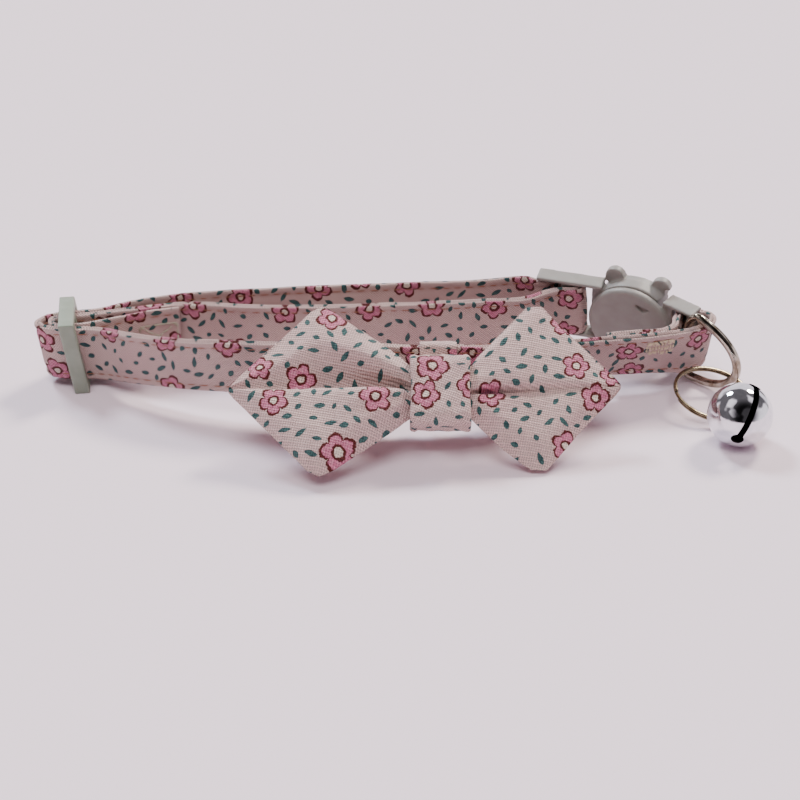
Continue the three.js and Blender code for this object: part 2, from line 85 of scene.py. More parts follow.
# ---- node helpers ----
class Nodes:
    """Short names for building a node tree out of math."""

    def __init__(self, tree):
        self.tree = tree

    def add(self, kind):
        return self.tree.nodes.new("ShaderNode" + kind)

    def link(self, source, target):
        self.tree.links.new(source, target)

    def put(self, value, socket):
        """Links another node's output to the socket, or sets a plain value on it."""
        if hasattr(value, "is_linked"):
            self.link(value, socket)
        elif value is not None:
            socket.default_value = value

    def math(self, operation, a, b=None, c=None):
        node = self.add("Math")
        node.operation = operation
        for value, socket in zip((a, b, c), node.inputs):
            self.put(value, socket)
        return node.outputs[0]

    def vector(self, operation, a, b=None, scale=None):
        node = self.add("VectorMath")
        node.operation = operation
        self.put(a, node.inputs[0])
        self.put(b, node.inputs[1])
        if scale is not None:
            self.put(scale, node.inputs["Scale"])
        single = operation in ("LENGTH", "DOT_PRODUCT")
        return node.outputs["Value" if single else "Vector"]

    def noise(self, vector, scale, detail=2.0, rough=0.5, colour=False):
        node = self.add("TexNoise")
        self.put(vector, node.inputs["Vector"])
        self.put(scale, node.inputs["Scale"])
        self.put(detail, node.inputs["Detail"])
        self.put(rough, node.inputs["Roughness"])
        return node.outputs["Color" if colour else "Fac"]

    def split(self, vector):
        node = self.add("SeparateXYZ")
        self.put(vector, node.inputs[0])
        return node.outputs

    def combine(self, x, y):
        node = self.add("CombineXYZ")
        self.put(x, node.inputs[0])
        self.put(y, node.inputs[1])
        return node.outputs[0]

    def ramp(self, value, low, high, at_low, at_high):
        """at_low below low, at_high above high, smooth between."""
        node = self.add("MapRange")
        node.interpolation_type = "SMOOTHSTEP"
        for name, given in (("Value", value), ("From Min", low), ("From Max", high),
                            ("To Min", at_low), ("To Max", at_high)):
            self.put(given, node.inputs[name])
        return node.outputs["Result"]

    def step(self, value, low, high):
        """0 below low, 1 above high, smooth between; low may be the larger."""
        if low < high:
            return self.ramp(value, low, high, 0.0, 1.0)
        return self.ramp(value, high, low, 1.0, 0.0)

    def mix(self, factor, a, b):
        node = self.add("Mix")
        node.data_type = "RGBA"
        self.put(factor, node.inputs[0])
        self.put(a, node.inputs[6])
        self.put(b, node.inputs[7])
        return node.outputs[2]

    def shade(self, factor, colour, low, high):
        """colour made darker or lighter between two factors."""
        amount = self.math("MULTIPLY_ADD", factor, high - low, low)
        return self.vector("SCALE", colour, scale=amount)

    def coordinates(self, space):
        return self.add("TexCoord").outputs[space]


class Surface(Nodes):
    """A material with one Principled shader."""

    def __init__(self, name):
        self.material = bpy.data.materials.new(name)
        self.material.use_nodes = True
        super().__init__(self.material.node_tree)
        self.tree.nodes.clear()
        output = self.add("OutputMaterial")
        self.shader = self.add("BsdfPrincipled")
        self.link(self.shader.outputs[0], output.inputs[0])

    def give(self, values):
        """Links or sets the shader's sockets by name."""
        for name, value in values.items():
            self.put(value, self.shader.inputs[name])

    def bump(self, height, distance, strength):
        node = self.add("Bump")
        self.put(strength, node.inputs["Strength"])
        self.put(distance, node.inputs["Distance"])
        self.put(height, node.inputs["Height"])
        self.link(node.outputs[0], self.shader.inputs["Normal"])

    def object_mm(self):
        return self.vector("SCALE", self.coordinates("Object"), scale=1 / MM)

    def layer_mm(self, layer, unit):
        """A layer of the mesh whose values are stored as parts of a unit."""
        node = self.add("UVMap")
        node.uv_map = layer
        return self.vector("SCALE", node.outputs[0], scale=unit)


def rgb(*shades):
    """A colour given in 0-255 display values, as the linear values a shader takes."""
    parts = [shade / 255 for shade in shades]
    return tuple(p / 12.92 if p <= 0.04045 else ((p + 0.055) / 1.055) ** 2.4 for p in parts) + (1.0,)


# Colours of the print.
GROUND = rgb(206, 178, 172)
GROUND_SHADE = rgb(197, 166, 163)
PETAL = rgb(190, 110, 136)
PETAL_LIGHT = rgb(208, 138, 158)
OUTLINE = rgb(84, 31, 29)
LEAF = rgb(66, 98, 96)
LEAF_DARK = rgb(48, 76, 77)
HEART = rgb(220, 202, 188)


# Layers of the cloth's mesh are stored as parts of these, to stay small numbers.
CLOTH_UNIT = 100.0
PRINT_UNIT = 10.0
# Rings of a printed flower and the edge of a leaf, in flower and leaf sizes: where the colour
# begins to show and where it is full.
PETALS = 5
FLOWER_OUTLINE = (1.04, 0.97)
PETAL_INSIDE = (0.86, 0.79)
HEART_OUTLINE = (0.42, 0.37)
HEART_INSIDE = (0.25, 0.20)
LEAF_INSIDE = (1.08, 0.86)


def cotton_print(name, thread, ribs, tone, bias):
    """Small five-petal flowers and short leaf strokes on a pale plain weave.

    thread is the weave's pitch in millimetres, ribs the strength of its diagonal, tone its
    lightness, which also scales the weave's painted light and shade, and bias its angle in
    degrees. The cloth's own millimetres, and the places of its flowers and leaves, come from the mesh.
    """
    nodes = Surface(name)
    flat = nodes.layer_mm("cloth", CLOTH_UNIT)
    waver = nodes.noise(flat, 1.0, 2.0, 0.6, colour=True)
    wobble = nodes.vector("SUBTRACT", waver, (0.5, 0.5, 0.5))

    flower = nodes.vector("ADD", nodes.layer_mm("flower", PRINT_UNIT),
                          nodes.vector("SCALE", wobble, scale=0.34))
    x, y, _ = nodes.split(flower)
    wave = nodes.math("COSINE", nodes.math("MULTIPLY", nodes.math("ARCTAN2", y, x), PETALS / 2))
    lobe = nodes.math("POWER", nodes.math("ABSOLUTE", wave), 0.6)
    from_heart = nodes.vector("LENGTH", flower)
    petals = nodes.math("DIVIDE", from_heart, nodes.math("MULTIPLY_ADD", lobe, 0.42, 0.64))

    stroke = nodes.vector("ADD", nodes.layer_mm("leaf", PRINT_UNIT),
                          nodes.vector("SCALE", wobble, scale=0.7))
    x, y, _ = nodes.split(stroke)
    across = nodes.math("MULTIPLY_ADD", nodes.math("ABSOLUTE", x), 0.28, nodes.math("ABSOLUTE", y))
    leaf = nodes.step(nodes.vector("LENGTH", nodes.combine(x, across)), *LEAF_INSIDE)

    # threads: a plain weave with faint diagonal ribs, uneven yarn and loose fuzz
    cut = RAD(bias)
    x = nodes.vector("DOT_PRODUCT", flat, (cos(cut), sin(cut), 0.0))
    y = nodes.vector("DOT_PRODUCT", flat, (-sin(cut), cos(cut), 0.0))
    warp = nodes.math("SINE", nodes.math("MULTIPLY", x, 2 * pi / thread))
    weft = nodes.math("SINE", nodes.math("MULTIPLY", y, 2 * pi / thread))
    twill = nodes.math("SINE", nodes.math("MULTIPLY", nodes.math("ADD", x, y), pi / thread))
    weave = nodes.math("MULTIPLY_ADD", nodes.math("MULTIPLY", warp, weft), 0.36, 0.5)
    weave = nodes.math("MULTIPLY_ADD", twill, ribs, weave)
    slub = nodes.noise(nodes.vector("MULTIPLY", flat, (0.25, 3.4, 1.0)), 1.0, 2.0)
    slub_up = nodes.noise(nodes.vector("MULTIPLY", flat, (3.4, 0.25, 1.0)), 1.0, 2.0)
    fuzz = nodes.noise(flat, 5.5, 3.0, 0.7)

    ground = nodes.mix(nodes.step(nodes.noise(flat, 0.09, 2.0), 0.3, 0.7), GROUND, GROUND_SHADE)
    petal = nodes.mix(nodes.step(nodes.noise(flat, 1.9, 3.0), 0.35, 0.68), PETAL, PETAL_LIGHT)
    green = nodes.mix(nodes.step(nodes.noise(flat, 1.3, 2.0), 0.35, 0.65), LEAF, LEAF_DARK)
    colour = nodes.mix(leaf, ground, green)
    for size, ring, ink in ((petals, FLOWER_OUTLINE, OUTLINE), (petals, PETAL_INSIDE, petal),
                            (from_heart, HEART_OUTLINE, OUTLINE), (from_heart, HEART_INSIDE, HEART)):
        colour = nodes.mix(nodes.step(size, *ring), colour, ink)
    # The weave's swing paints light and shade into the colour: raised threads are painted lighter and
    # the pits between them painted darker. Slub, slub_up and fuzz are uneven yarn.
    for pattern, dark, light in ((weave, 0.50 * tone, 1.44 * tone), (slub, 0.88, 1.12),
                                 (slub_up, 0.90, 1.10), (fuzz, 0.84, 1.16)):
        colour = nodes.shade(pattern, colour, dark, light)
    nodes.give({"Base Color": colour, "Roughness": 0.88, "Specular IOR Level": 0.25,
                "Sheen Weight": 0.12, "Sheen Roughness": 0.45})
    height = nodes.math("MULTIPLY_ADD", fuzz, 0.5, weave)
    height = nodes.math("MULTIPLY_ADD", slub, 0.6, height)
    nodes.bump(height, 0.00026, 1.0)
    return nodes.material


def moulded(name, colour, pale):
    """Satin plastic with a fine grain."""
    nodes = Surface(name)
    spot = nodes.object_mm()
    cloud = nodes.noise(spot, 0.35, 2.0)
    grain = nodes.noise(spot, 9.0, 3.0, 0.7)
    tone = nodes.mix(nodes.step(cloud, 0.3, 0.7), colour, pale)
    nodes.give({"Base Color": nodes.shade(grain, tone, 0.96, 1.04),
                "Roughness": nodes.math("MULTIPLY_ADD", grain, 0.16, 0.36),
                "Subsurface Weight": 0.08, "Subsurface Scale": 0.001})
    nodes.bump(grain, 0.00003, 0.5)
    return nodes.material


def plated(name, colour, dark, rough, scratch):
    """Metal with cloudy plating; scratch is how much rougher its fine marks are."""
    nodes = Surface(name)
    spot = nodes.object_mm()
    cloud = nodes.noise(spot, 0.5, 3.0, 0.6)
    fine = nodes.noise(nodes.vector("MULTIPLY", spot, (1.0, 1.0, 6.0)), 2.4, 4.0, 0.7)
    nodes.give({"Base Color": nodes.mix(nodes.step(cloud, 0.35, 0.75), colour, dark),
                "Roughness": nodes.math("MULTIPLY_ADD", fine, scratch, rough), "Metallic": 1.0})
    nodes.bump(fine, 0.00001, 0.35)
    return nodes.material


def thread_material(name, colour, pale):
    nodes = Surface(name)
    twist = nodes.noise(nodes.object_mm(), 6.0, 2.0)
    nodes.give({"Base Color": nodes.mix(twist, colour, pale), "Roughness": 0.8, "Sheen Weight": 0.2})
    nodes.bump(twist, 0.00004, 0.7)
    return nodes.material


# ---- mesh helpers ----
def new_object(name, verts, faces, material, uvs=None, smooth_faces=True):
    mesh = bpy.data.meshes.new(name)
    mesh.from_pydata(verts, [], faces)
    if uvs is not None:
        for corner, uv in zip(mesh.uv_layers.new(name="cloth").data, uvs):
            corner.uv = uv
    mesh.validate()
    mesh.update()
    mesh.polygons.foreach_set("use_smooth", [smooth_faces] * len(mesh.polygons))
    mesh.materials.append(material)
    return add_object(name, mesh)


def circle(count):
    """The angles of evenly spaced points on a circle."""
    return [2 * pi * k / count for k in range(count)]


def face_outward(piece):
    work = bmesh.new()
    work.from_mesh(piece.data)
    bmesh.ops.recalc_face_normals(work, faces=work.faces)
    work.to_mesh(piece.data)
    work.free()


def skin(total, count, closed=False, base=0):
    """Faces over rings of count points each, whose numbers start at base.

    The last ring meets the first when closed; otherwise both get a lid.
    """
    faces = []
    for r in range(total if closed else total - 1):
        here = base + r * count
        there = base + (r + 1) % total * count
        for k in range(count):
            k2 = (k + 1) % count
            faces.append((here + k, here + k2, there + k2, there + k))
    if not closed:
        faces.append(tuple(base + k for k in reversed(range(count))))
        faces.append(tuple(base + (total - 1) * count + k for k in range(count)))
    return faces


def sweep(name, rings, spans, rims, material, closed=False):
    """A closed skin through rings of points; spans and rims are the cloth's millimetres along
    and around. With closed set, the last ring meets the first."""
    verts = [place(p) for ring in rings for p in ring]
    corners = []
    for u0, u1 in zip(spans, spans[1:]):
        for v0, v1 in zip(rims, rims[1:]):
            corners += [(u0, v0), (u0, v1), (u1, v1), (u1, v0)]
    if not closed:
        corners += [(spans[end], v) for end in (0, -1) for v in rims[:-1]]
    uvs = [(u / CLOTH_UNIT, v / CLOTH_UNIT) for u, v in corners]
    piece = new_object(name, verts, skin(len(rings), len(rings[0]), closed), material, uvs)
    face_outward(piece)
    return piece


# Tries for each square millimetre of cloth, the least distance between two of a kind, and the
# size of the cells in which near leaves are looked up.
FLOWER_TRIES, LEAF_TRIES = 0.25, 2.5
FLOWER_GAP, LEAF_GAP = 8.0, 2.2
LEAF_CELL = 2.4


def spread(area, flowers, seed, busy=None):
    """Fills an area of cloth (low x, high x, low y, high y) round the flowers it already has.

    No flower is added where busy(x, y) is true. Returns flowers as x, y, radius, turn and leaves
    as x, y, half length, turn, half width.
    """
    draw = random.Random(seed)
    flowers = list(flowers)
    low_x, high_x, low_y, high_y = area
    size = (high_x - low_x) * (high_y - low_y)
    for _ in range(int(size * FLOWER_TRIES)):
        x, y = draw.uniform(low_x, high_x), draw.uniform(low_y, high_y)
        radius, turn = draw.uniform(2.3, 2.6), draw.uniform(0, 6.28)
        if busy and busy(x, y):
            continue
        if all(hypot(x - f[0], y - f[1]) > FLOWER_GAP for f in flowers):
            flowers.append((x, y, radius, turn))
    leaves, cells = [], {}
    for _ in range(int(size * LEAF_TRIES)):
        x, y = draw.uniform(low_x, high_x), draw.uniform(low_y, high_y)
        half = draw.uniform(0.62, 1.26)
        turn, wide = draw.uniform(0, pi), draw.uniform(0.40, 0.54)
        key = (int(x // LEAF_CELL), int(y // LEAF_CELL))
        near = [leaf for i in (-1, 0, 1) for j in (-1, 0, 1)
                for leaf in cells.get((key[0] + i, key[1] + j), ())]
        if any(hypot(x - leaf[0], y - leaf[1]) < LEAF_GAP for leaf in near):
            continue
        if any(hypot(x - f[0], y - f[1]) < f[2] * 1.06 + half * 0.75 for f in flowers):
            continue
        leaf = (x, y, half, turn, wide)
        leaves.append(leaf)
        cells.setdefault(key, []).append(leaf)
    return flowers, leaves


def lay_print(piece, flowers, leaves):
    """Writes each face's place relative to its nearest flower and leaf, in flower and leaf sizes."""
    mesh = piece.data
    cloth = [Vector(item.uv) * CLOTH_UNIT for item in mesh.uv_layers["cloth"].data]
    for name, rows in (("flower", flowers), ("leaf", leaves)):
        data = mesh.uv_layers.new(name=name).data
        tree = KDTree(len(rows))
        for index, row in enumerate(rows):
            tree.insert((row[0], row[1], 0), index)
        tree.balance()
        for face in mesh.polygons:
            middle = Vector((0, 0))
            for index in face.loop_indices:
                middle += cloth[index]
            middle /= face.loop_total
            row = rows[tree.find((middle.x, middle.y, 0))[1]]
            c, s = cos(row[3]), sin(row[3])
            long, wide = row[2], row[-1] if name == "leaf" else row[2]
            for index in face.loop_indices:
                dx, dy = cloth[index].x - row[0], cloth[index].y - row[1]
                data[index].uv = ((dx * c + dy * s) / long / PRINT_UNIT,
                                  (dy * c - dx * s) / wide / PRINT_UNIT)


LEAST = 1e-4


def spline(points, closed=False):
    """A centripetal Catmull-Rom curve: a function of u and the number of its pieces.

    The function returns the point, the heading, the piece and the part of it at u.
    """
    points = [Vector(p) for p in points]
    count = len(points)

    def corner(i):
        if closed:
            return points[i % count]
        if i < 0:
            return points[0] * 2 - points[1]
        if i >= count:
            return points[-1] * 2 - points[-2]
        return points[i]

    def coefficients(i):
        p0, p1, p2, p3 = (corner(i + k) for k in (-1, 0, 1, 2))
        d0, d1, d2 = ((b - a).length ** 0.5 for a, b in ((p0, p1), (p1, p2), (p2, p3)))
        d1 = max(d1, LEAST)
        d0 = d0 if d0 > LEAST else d1
        d2 = d2 if d2 > LEAST else d1
        t1 = ((p1 - p0) / d0 - (p2 - p0) / (d0 + d1) + (p2 - p1) / d1) * d1
        t2 = ((p2 - p1) / d1 - (p3 - p1) / (d1 + d2) + (p3 - p2) / d2) * d1
        return p1, t1, -3 * p1 + 3 * p2 - 2 * t1 - t2, 2 * p1 - 2 * p2 + t1 + t2

    rows = [coefficients(i) for i in range(count if closed else count - 1)]

    def at(u):
        i = min(int(u), len(rows) - 1)
        t = u - i
        a, b, c, d = rows[i]
        return a + t * (b + t * (c + t * d)), (b + t * (2 * c + 3 * t * d)).normalized(), i, t

    return at, len(rows)


def wander(a, b=0.0, c=0.0):
    """A smooth irregular value between -1 and 1, the same every time."""
    return noise.noise(Vector((a, b, c)))


def smooth(value):
    """Eases from 0 to 1 as value goes from 0 to 1."""
    value = max(0.0, min(1.0, value))
    return value * value * (3 - 2 * value)


# ---- frames of the rigid pieces ----
SLIDER_AT = (-59.9, 8.4)
SLIDER_YAW = RAD(8.6)
SLIDER_LEAN = 7.5
BUCKLE_AT = (42.5, 14.0, 7.9)
ARM_START, ARM_RAISE, ARM_SETBACK = 8.0, 0.3, 0.8
ARM_BEND = {-1: RAD(9), 1: RAD(15)}

BUCKLE = (Matrix.Translation(BUCKLE_AT) @ Matrix.Rotation(RAD(-27), 4, "Z")
          @ Matrix.Rotation(RAD(102), 4, "X") @ Matrix.Rotation(RAD(-3.5), 4, "Z"))


def arm_point(side, along, depth):
    """A point of the layout on a buckle arm (side -1 left, 1 right), depth behind its face."""
    bend = ARM_BEND[side]
    local = (Vector((side * ARM_START, ARM_RAISE, -ARM_SETBACK))
             + along * Vector((side * cos(bend), 0, sin(bend)))
             + depth * Vector((side * sin(bend), 0, -cos(bend))))
    return BUCKLE @ local


def slide(across, depth, z=7.05, tip=-SLIDER_LEAN):
    """A row of the strap's path by the slider's centre bar."""
    return (SLIDER_AT[0] + across * cos(SLIDER_YAW) - depth * sin(SLIDER_YAW),
            SLIDER_AT[1] + across * sin(SLIDER_YAW) + depth * cos(SLIDER_YAW), z, tip, -1)


def on_arm(side, along, depth, tip_x=-5.4, tip_y=-10.7):
    """A row of the strap's path by a buckle arm's bars."""
    return (*arm_point(side, along, depth), tip_x, tip_y)


# ---- strap ----
# Columns: x, y, height of the strap's middle, then how far its top edge tips to +X and +Y.
IN, OUT = 1.8, 3.5
STRAP_ROWS = [
    (-40.8, 12.3, 7.6, 0, 0), (-45.5, 11.2, 7.5, 0, 0), (-50.5, 9.4, 7.3, 0, 0),
    slide(3.2, -IN, 7.1, -5), slide(0, -IN), slide(-1.5, -IN), slide(-2.85, -IN * 0.5),
    slide(-3.1, 0), slide(-2.85, IN * 0.5), slide(-1.5, IN), slide(0, IN), slide(3.2, IN + 0.1, 7.1, -5),
    (-50.5, 12.1, 7.3, 0, 0), (-45.5, 13.0, 7.5, 0, 0), (-40.5, 14.0, 7.7, 0, -2),
    (-35.5, 13.5, 7.9, 0, -3), (-30.5, 12.5, 8.0, 0, -3), (-18, 11.9, 8.1, 0, -3),
    (0, 12.8, 8.2, 0, -4), (14.5, 14.1, 8.3, 0, -5), (24.0, 15.9, 8.3, -3, -9),
    on_arm(-1, 7.0, -1.9), on_arm(-1, 5.0, -0.75), on_arm(-1, 3.4, -0.5), on_arm(-1, 1.95, 0.15),
    on_arm(-1, 1.4, 1.6), on_arm(-1, 1.95, 3.05), on_arm(-1, 3.4, 3.7), on_arm(-1, 5.3, 3.7),
    on_arm(-1, 6.5, 3.2), on_arm(-1, 7.3, 2.1), on_arm(-1, 8.3, 1.05), on_arm(-1, 9.9, 0.7),
    on_arm(-1, 12.4, 0.9, -3, -9),
    (14, 23.3, 8.1, 0, -5), (0, 22.5, 7.9, 0, -4), (-19, 21.2, 7.7, 0, -3), (-32, 20.0, 7.5, 0, -2),
    (-42, 18.3, 7.4, 0, -1), (-50, 15.7, 7.2, 0, 0),
    slide(4.6, OUT + 0.25, 7.1, -3), slide(0, OUT), slide(-1.9, OUT * 0.93), slide(-4.4, OUT * 0.62),
    slide(-5.6, 0), slide(-4.4, -OUT * 0.62), slide(-1.9, -OUT * 0.93), slide(0, -OUT),
    slide(4.2, -OUT - 0.45, 6.95, -3),
    (-48, 0.2, 8.4, 0, -7), (-43, -2.2, 9.0, 0, -9), (-38, -4.3, 9.6, 0, -9), (-30, -6.3, 10.2, 0, -7),
    (-20, -8.2, 10.6, 0, -1), (-8, -9.3, 10.7, 0, 8), (7.5, -9.7, 10.4, 0, 12), (20, -7.2, 9.8, 0, -4),
    (28, -3.4, 9.3, 0, -19), (34, -0.7, 9.0, 0, -25), (39, 0.4, 8.9, 0, -26), (43.6, 1.2, 8.8, 0, -25),
    (48.2, 2.3, 8.6, 0, -22), (51.4, 3.4, 8.3, 0, -18), (53.6, 4.7, 8.2, 2, -16),
    (55.5, 6.2, 8.2, 5, -15), (56.5, 8.2, 8.3, 5, -13), (56.4, 10.2, 8.3, 0, -11),
    on_arm(1, 4.6, 3.75), on_arm(1, 3.0, 3.7), on_arm(1, 1.65, 3.05), on_arm(1, 1.1, 1.6),
    on_arm(1, 1.6, 0.15, -5, -12),
    (50.5, 8.5, 8.1, -4, -14), (50.2, 7.2, 8.2, -3, -16), (49.7, 6.0, 8.3, -2, -18),
    (48.7, 5.0, 8.4, 0, -20), (47.2, 4.1, 8.5, 0, -23), (45.2, 3.5, 8.6, 0, -24),
    (43.4, 3.1, 8.8, 0, -25), (39.0, 2.3, 8.9, 0, -26), (36.9, 1.8, 8.9, 0, -26),
]
STITCH_LINE = 4.05
STITCH_STEP = 2.3
STRAP_PITCH = 0.5
ROW_SAMPLES = 60
# Places round the strap's cloth: w + FRONT_RIM on its outer face, BACK_RIM - w on its inner.
FRONT_RIM, BACK_RIM, LAST_RIM = 6, 18, 24.3
BACK_OF_STRAP = 12


def strap_frames():
    """Centre, outward and upward directions, length and path row, at even steps of the strap."""
    at, last = spline([row[:3] for row in STRAP_ROWS])
    samples, length, previous = [], 0.0, None
    for k in range(last * ROW_SAMPLES + 1):
        point, heading, row, part = at(k / ROW_SAMPLES)
        if previous is not None:
            length += (point - previous).length
        previous = point
        ease = smooth(part)
        here, following = STRAP_ROWS[row], STRAP_ROWS[row + 1]
        x, y = (sin(RAD(here[c] * (1 - ease) + following[c] * ease)) for c in (3, 4))
        up = Vector((x, y, sqrt(1 - x ** 2 - y ** 2)))
        samples.append((point, heading.cross(up).normalized(), up, length, row))
    frames, goal = [samples[0]], STRAP_PITCH
    for sample in samples:
        if sample[3] >= goal:
            frames.append(sample)
            goal = sample[3] + STRAP_PITCH
    frames.append(samples[-1])
    return frames


def strap_section(s):
    """Two turned plies side by side: (out, up, place round the cloth) of the strap at length s.

    Each ply is turned in at the top, and the inner one stands a little higher.
    """
    tug = 0.5 + 0.5 * cos(2 * pi * s / STITCH_STEP)
    edge = 0.16 * wander(s * 0.13, 11.0) + 0.07 * wander(s * 0.75, 5.0)
    high = 0.20 + 0.16 * wander(s * 0.17, 21.0)
    pinch = 0.50 - 0.07 * tug

    def swell(w, side):
        puff = 0.62 + 0.13 * wander(s * 0.21, w * 0.22, 3.1 + side)
        puff += 0.06 * wander(s * 0.8, w * 0.8, 7.7 + side)
        return pinch + (puff - pinch) * smooth(abs(abs(w) - STITCH_LINE) / 1.1)

    flat = [-3.6 + 0.45 * k for k in range(17)]
    points = [(0.30, -5.28), (0.56, -5.12), (0.64, -4.75), (0.58, -4.4), (pinch, -STITCH_LINE)]
    points += [(swell(w, 0), w) for w in flat]
    points += [(pinch, STITCH_LINE), (0.60, 4.4), (0.64, 4.75), (0.58, 5.02), (0.32, 5.16), (0.07, 4.95)]
    front = [(t, w, w + FRONT_RIM) for t, w in points]
    points = [(0.07, 4.95), (0.30, 5.16 + high), (0.56, 5.02 + high), (0.66, 4.75), (0.60, 4.4),
              (pinch, STITCH_LINE)]
    points += [(swell(w, 9), w) for w in reversed(flat)]
    points += [(pinch, -STITCH_LINE), (0.58, -4.4), (0.64, -4.75), (0.56, -5.12), (0.30, -5.28),
               (0.07, -5.0)]
    back = [(-t, w, BACK_RIM - w) for t, w in points] + [(0.07, -5.0, 23.6)]
    return [(t, w + (edge if abs(w) > 4.3 else 0), v) for t, w, v in front + back]


def build_strap(material):
    frames = strap_frames()
    rings = [[centre + t * out + w * up for t, w, _ in strap_section(s)]
             for centre, out, up, s, _ in frames]
    rims = [v for _, _, v in strap_section(0)] + [LAST_RIM]
    return sweep("strap_cloth", rings, [f[3] for f in frames], rims, material), frames


def length_at(frames, x, first, last):
    """The length along the strap where it passes x, between two rows of its path."""
    return min((abs(f[0].x - x), f[3]) for f in frames if first <= f[4] < last)[1]


# Columns: part of a stitch's length, share of its radius, and lift off the cloth in radii.
THREAD_RINGS = [(0.0, 0.35, -0.6), (0.12, 0.8, -0.1), (0.35, 1.0, 0.35), (0.65, 1.0, 0.35),
                (0.88, 0.8, -0.1), (1.0, 0.35, -0.6)]
THREAD_SIDES = 6


def add_stitch(verts, faces, start, end, out, radius):
    """Adds one short thread, sunk at both ends, to a mesh being built."""
    side = (end - start).normalized().cross(out).normalized()
    faces += skin(len(THREAD_RINGS), THREAD_SIDES, base=len(verts))
    for part, fat, lift in THREAD_RINGS:
        centre = start.lerp(end, part) + out * (lift * radius)
        for a in circle(THREAD_SIDES):
            verts.append(place(centre + radius * fat * (cos(a) * side + sin(a) * out)))


def build_stitches(frames, material):
    """Topstitching along both edges of both faces."""
    verts, faces, stops = [], [], []
    goal = 1.0
    for sample in frames:
        if sample[3] >= goal:
            stops.append(sample)
            goal += STITCH_STEP
    for a, b in zip(stops, stops[1:]):
        for edge in (-STITCH_LINE, STITCH_LINE):
            for side in (1, -1):
                near, far = (centre + up * edge + out * side * 0.50
                             for centre, out, up in (a[:3], b[:3]))
                add_stitch(verts, faces, near.lerp(far, 0.14), near.lerp(far, 0.80), a[1] * side, 0.10)
    return new_object("strap_stitches", verts, faces, material)


def build_tack(name, frames, side, corners, material):
    """Thread sewn through the strap along a path of (length, height) corners."""
    verts, faces = [], []

    def spot(s, w):
        centre, out, up = min(frames, key=lambda sample: abs(sample[3] - s))[:3]
        return centre + out * (side * 0.62) + up * w, out * side

    for (s0, w0), (s1, w1) in zip(corners, corners[1:]):
        count = max(1, round(hypot(s1 - s0, w1 - w0) / 1.1))
        for k in range(count):
            a, b = (k + 0.08) / count, (k + 0.92) / count
            start, out = spot(s0 + (s1 - s0) * a, w0 + (w1 - w0) * a)
            end, _ = spot(s0 + (s1 - s0) * b, w0 + (w1 - w0) * b)
            if (end - start).length > 0.2:
                add_stitch(verts, faces, start, end, out, 0.19)
    return new_object(name, verts, faces, material)


# ---- bow ----
# Columns: x, y and z of the cut's middle, lean in degrees, reach up and down, and how far its
# puff and crease stand out in front and its back behind.
BOW_ROWS = [
    (-29.0, -17.6, 11.6, 54, 0.35, 0.35, 0.4, 0.3, 0.4),
    (-28.2, -17.6, 11.6, 54, 1.5, 1.4, 0.8, 0.4, 0.6),
    (-24.0, -17.6, 11.5, 54, 5.9, 5.8, 1.6, 0.4, 0.9),
    (-19.0, -17.6, 11.5, 54, 11.0, 11.0, 2.2, 0.1, 1.1),
    (-15.4, -17.6, 11.5, 54, 14.9, 14.8, 2.6, -0.2, 1.2),
    (-13.4, -17.5, 11.5, 54, 15.9, 15.9, 2.9, -0.4, 1.3),
    (-11.3, -17.4, 11.4, 53.5, 14.6, 14.9, 3.3, -0.6, 1.4),
    (-7.5, -17.2, 11.3, 53, 11.8, 12.2, 3.9, -0.9, 1.5),
    (-3.0, -17.1, 11.2, 52, 8.6, 8.9, 3.9, -1.1, 1.6),
    (0.4, -17.1, 11.1, 51, 5.9, 6.1, 2.8, -0.9, 1.6),
    (1.7, -17.4, 11.0, 50, 4.7, 4.7, 1.7, 0.2, 1.5),
    (6.8, -17.4, 11.0, 49, 4.3, 4.4, 1.5, 1.0, 1.4),
    (12.0, -17.4, 10.9, 48, 4.7, 4.7, 1.7, 0.2, 1.5),
    (13.2, -16.9, 10.9, 47.5, 6.1, 6.3, 2.4, -0.5, 1.6),
    (17.0, -16.1, 10.8, 47, 9.8, 10.4, 2.7, -0.2, 1.5),
    (20.5, -15.4, 10.7, 47, 13.2, 13.5, 2.6, 0.1, 1.4),
    (22.0, -15.1, 10.65, 47, 14.7, 14.6, 2.4, 0.2, 1.3),
    (24.6, -14.9, 10.6, 47, 14.7, 14.8, 2.2, 0.3, 1.2),
    (26.6, -14.7, 10.55, 47, 12.3, 12.7, 2.0, 0.5, 1.1),
    (30.0, -14.4, 10.5, 47, 8.6, 8.8, 1.6, 0.7, 1.0),
    (33.6, -14.2, 10.4, 47, 4.9, 5.0, 1.2, 0.7, 0.9),
    (37.0, -14.0, 10.3, 47, 1.4, 1.5, 0.7, 0.4, 0.6),
    (37.8, -14.0, 10.3, 47, 0.35, 0.35, 0.4, 0.3, 0.4),
]
KNOT_X = 6.8


def bow_row(x):
    """The bow's cut at x, between its two nearest rows."""
    for a, b in zip(BOW_ROWS, BOW_ROWS[1:]):
        if x <= b[0]:
            part = (x - a[0]) / (b[0] - a[0])
            return [x] + [p + (q - p) * part for p, q in zip(a[1:], b[1:])]
    return list(BOW_ROWS[-1])


def bow_point(row, v, n):
    """A point of one cut, v up along its leaning line and n out of the front."""
    lean = RAD(row[3])
    return Vector((row[0], row[1] + v * sin(lean) - n * cos(lean),
                   row[2] + v * cos(lean) + n * sin(lean)))


# Each wing's sharp lip and soft slope, as parts of its reach, and how deep its seeded folds are.
LEFT_WING = {"crease_at": 0.02, "lip": 0.045, "slope": 0.55, "slope_height": 0.86,
             "fold": 0.65, "seed": 4.0}
RIGHT_WING = {"crease_at": -0.02, "lip": 0.022, "slope": 0.16, "slope_height": 0.80,
              "fold": 0.22, "seed": 9.0}
# Half the bow's thickness along its edges.
EDGE_HALF = 0.40


